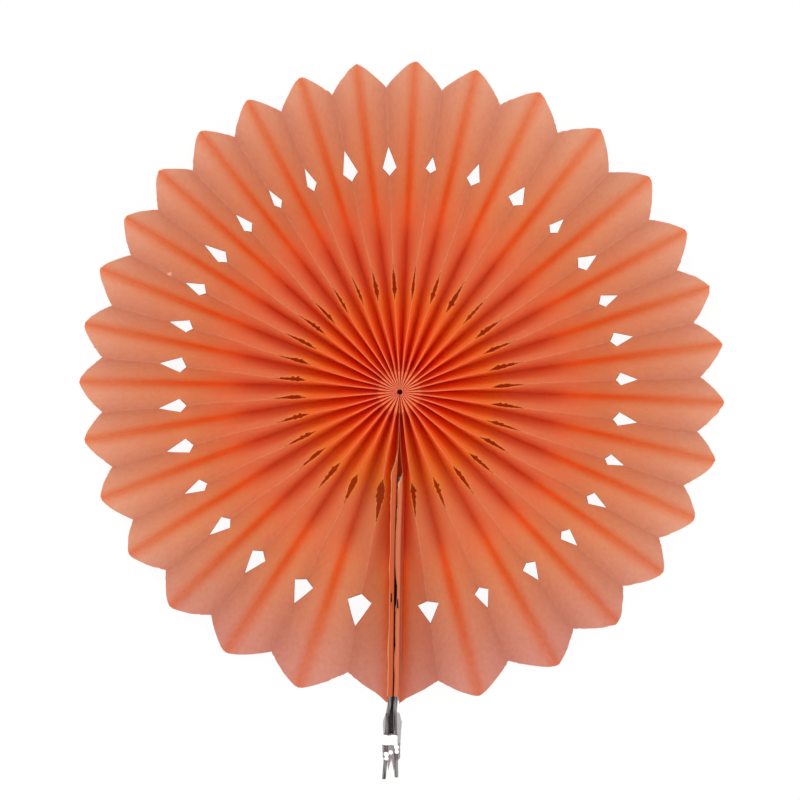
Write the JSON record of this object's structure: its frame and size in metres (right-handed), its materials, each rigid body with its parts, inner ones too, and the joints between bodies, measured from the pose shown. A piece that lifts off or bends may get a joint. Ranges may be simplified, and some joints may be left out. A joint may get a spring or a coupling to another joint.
{
  "type": "paper fan rosette",
  "caption": "Round pleated paper fan opened to a full circle, with a petal rim, two rings of kite cut-outs and two taped end wires below it; a hanging decoration.",
  "frame": {"origin": "centre of the rosette, on the plane that its back lies on", "axes": "+Z out of the front face, +Y away from the wires, in the plane of the rosette"},
  "size_m": [0.2998, 0.3263, 0.0209],
  "materials": {
    "paper": "matt, thin, slightly translucent",
    "wire": "dull drawn wire",
    "tape": "clear glossy film",
    "thread": "twisted cotton"
  },
  "bodies": {
    "root": {"pleated_paper": "paper", "left_wire": "wire", "right_wire": "wire", "clear_tape": "tape", "centre_thread": "thread"}
  },
  "joints": []
}
